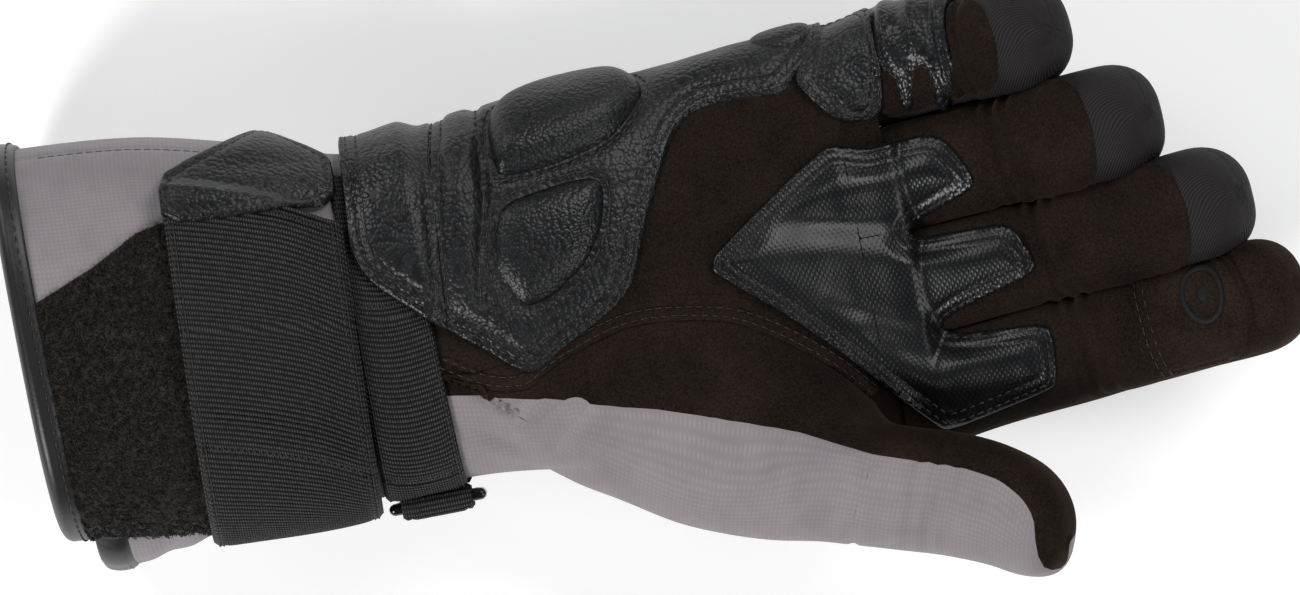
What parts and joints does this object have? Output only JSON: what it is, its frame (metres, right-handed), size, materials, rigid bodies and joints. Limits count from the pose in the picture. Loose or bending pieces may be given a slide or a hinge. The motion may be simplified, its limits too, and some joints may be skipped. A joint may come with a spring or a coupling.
{
  "type": "ski glove",
  "caption": "Padded winter gauntlet glove for the right hand with jointed fingers, leather palm heel, grip patch, cuff strap and wrist strap.",
  "frame": {"origin": "middle of the knuckle guard's flat rest face, on the back of the hand", "axes": "+X from the cuff to the fingertips, +Y towards the little finger's side, +Z out of the palm"},
  "size_m": [0.3185, 0.1588, 0.0786],
  "materials": {
    "palm_suede": "very dark brown suede, matt",
    "heel_leather": "charcoal black pebbled leather",
    "softshell_grey": "warm grey softshell with a fine grid weave",
    "softshell_charcoal": "charcoal twill softshell",
    "grip_fabric": "black textured grip fabric",
    "webbing": "black ribbed polyester webbing",
    "pile": "black brown hook and loop pile",
    "binding": "black synthetic leather binding",
    "buckle_plastic": "glossy black plastic",
    "guard": "matt black moulded rubber",
    "lining": "dark grey brushed fleece",
    "touch_leather": "dark brown conductive leather with a printed mark"
  },
  "bodies": {
    "hand": {"palm_panel": "palm_suede", "back_panel": "softshell_charcoal", "hand_lining": "lining", "thumb_base_palm": "palm_suede", "thumb_base_back": "softshell_grey", "heel_leather": "heel_leather", "upper_heel_pad": "heel_leather", "lower_heel_pad": "heel_leather", "edge_pad": "heel_leather", "wrist_flap": "heel_leather", "grip_patch": "grip_fabric", "knuckle_guard": "guard", "cuff_shell": "softshell_grey", "cuff_lining": "lining", "cuff_binding": "binding", "loop_patch": "pile", "cuff_bellows": "softshell_grey", "bellows_binding": "binding", "strap_anchor": "webbing", "wrist_strap": "webbing", "wrist_strap_back": "webbing", "wrist_ring": "buckle_plastic", "index_finger_root_gusset": "softshell_charcoal", "middle_finger_root_gusset": "softshell_charcoal", "ring_finger_root_gusset": "softshell_charcoal", "little_finger_root_gusset": "softshell_charcoal", "thumb_root_gusset": "softshell_charcoal"},
    "index_finger_lower": {"index_finger_lower_palm": "palm_suede", "index_finger_lower_back": "softshell_charcoal", "index_finger_joint_gusset": "softshell_charcoal", "index_finger_grip": "grip_fabric"},
    "index_finger_tip": {"index_finger_tip_palm": "palm_suede", "index_finger_tip_back": "softshell_charcoal", "touch_pad": "touch_leather"},
    "middle_finger_lower": {"middle_finger_lower_palm": "palm_suede", "middle_finger_lower_back": "softshell_charcoal", "middle_finger_joint_gusset": "softshell_charcoal", "middle_finger_grip": "grip_fabric"},
    "middle_finger_tip": {"middle_finger_tip_palm": "palm_suede", "middle_finger_tip_back": "softshell_charcoal"},
    "ring_finger_lower": {"ring_finger_lower_palm": "palm_suede", "ring_finger_lower_back": "softshell_charcoal", "ring_finger_joint_gusset": "softshell_charcoal", "ring_finger_grip": "grip_fabric"},
    "ring_finger_tip": {"ring_finger_tip_palm": "palm_suede", "ring_finger_tip_back": "softshell_charcoal"},
    "little_finger_lower": {"little_finger_lower_palm": "palm_suede", "little_finger_lower_back": "softshell_charcoal", "little_finger_joint_gusset": "softshell_charcoal", "little_finger_patch": "heel_leather"},
    "little_finger_tip": {"little_finger_tip_palm": "palm_suede", "little_finger_tip_back": "softshell_charcoal"},
    "thumb_lower": {"thumb_lower_palm": "palm_suede", "thumb_lower_back": "softshell_grey", "thumb_joint_gusset": "softshell_charcoal"},
    "thumb_tip": {"thumb_tip_palm": "palm_suede", "thumb_tip_back": "softshell_grey"},
    "cuff_strap": {"cuff_strap": "webbing", "hook_pad": "pile", "pull_tab": "binding"}
  },
  "joints": [
    {"name": "index_finger_knuckle", "type": "hinge", "parent": "hand", "child": "index_finger_lower", "pos_m": [0.027, -0.04158, 0.025], "axis": [0.0976, -0.9952, 0], "range_deg": [-12, 48], "stiffness_Nm_per_rad": 0.25, "deforming": ["index_finger_root_gusset"]},
    {"name": "index_finger_joint", "type": "hinge", "parent": "index_finger_lower", "child": "index_finger_tip", "pos_m": [0.06789, -0.03757, 0.03373], "axis": [0.0976, -0.9952, 0], "range_deg": [-14.4, 57.6], "stiffness_Nm_per_rad": 0.15, "deforming": ["index_finger_joint_gusset"]},
    {"name": "middle_finger_knuckle", "type": "hinge", "parent": "hand", "child": "middle_finger_lower", "pos_m": [0.027, -0.01448, 0.025], "axis": [0.0837, -0.9965, 0], "range_deg": [-12, 48], "stiffness_Nm_per_rad": 0.25, "deforming": ["middle_finger_root_gusset"]},
    {"name": "middle_finger_joint", "type": "hinge", "parent": "middle_finger_lower", "child": "middle_finger_tip", "pos_m": [0.06358, -0.0114, 0.03483], "axis": [0.0837, -0.9965, 0], "range_deg": [-14.4, 57.6], "stiffness_Nm_per_rad": 0.15, "deforming": ["middle_finger_joint_gusset"]},
    {"name": "ring_finger_knuckle", "type": "hinge", "parent": "hand", "child": "ring_finger_lower", "pos_m": [0.027, 0.01263, 0.025], "axis": [0.0663, -0.9978, 0], "range_deg": [-12, 48], "stiffness_Nm_per_rad": 0.25, "deforming": ["ring_finger_root_gusset"]},
    {"name": "ring_finger_joint", "type": "hinge", "parent": "ring_finger_lower", "child": "ring_finger_tip", "pos_m": [0.05737, 0.01464, 0.03489], "axis": [0.0663, -0.9978, 0], "range_deg": [-14.4, 57.6], "stiffness_Nm_per_rad": 0.15, "deforming": ["ring_finger_joint_gusset"]},
    {"name": "little_finger_knuckle", "type": "hinge", "parent": "hand", "child": "little_finger_lower", "pos_m": [0.027, 0.04118, 0.025], "axis": [0.0262, -0.9997, 0], "range_deg": [-12, 48], "stiffness_Nm_per_rad": 0.25, "deforming": ["little_finger_root_gusset"]},
    {"name": "little_finger_joint", "type": "hinge", "parent": "little_finger_lower", "child": "little_finger_tip", "pos_m": [0.0511, 0.04181, 0.03474], "axis": [0.0262, -0.9997, 0], "range_deg": [-14.4, 57.6], "stiffness_Nm_per_rad": 0.15, "deforming": ["little_finger_joint_gusset"]},
    {"name": "thumb_base", "type": "hinge", "parent": "hand", "child": "thumb_lower", "pos_m": [-0.004, -0.062, 0.05], "axis": [-0.3746, -0.9272, 0], "range_deg": [-10, 30], "stiffness_Nm_per_rad": 0.25, "deforming": ["thumb_root_gusset"]},
    {"name": "thumb_joint", "type": "hinge", "parent": "thumb_lower", "child": "thumb_tip", "pos_m": [0.01987, -0.07165, 0.05362], "axis": [-0.3746, -0.9272, 0], "range_deg": [-12, 36], "stiffness_Nm_per_rad": 0.15, "deforming": ["thumb_joint_gusset"]},
    {"name": "cuff_strap_peel", "type": "hinge", "parent": "hand", "child": "cuff_strap", "pos_m": [-0.1395, -0.0462, 0.03066], "axis": [0.999, -0.0171, -0.0406], "range_deg": [0, 120]}
  ],
  "couplings": [
    {"joint": "index_finger_joint", "follows": "index_finger_knuckle", "ratio": 1.2},
    {"joint": "middle_finger_joint", "follows": "middle_finger_knuckle", "ratio": 1.2},
    {"joint": "ring_finger_joint", "follows": "ring_finger_knuckle", "ratio": 1.2},
    {"joint": "little_finger_joint", "follows": "little_finger_knuckle", "ratio": 1.2},
    {"joint": "thumb_joint", "follows": "thumb_base", "ratio": 1.2}
  ]
}
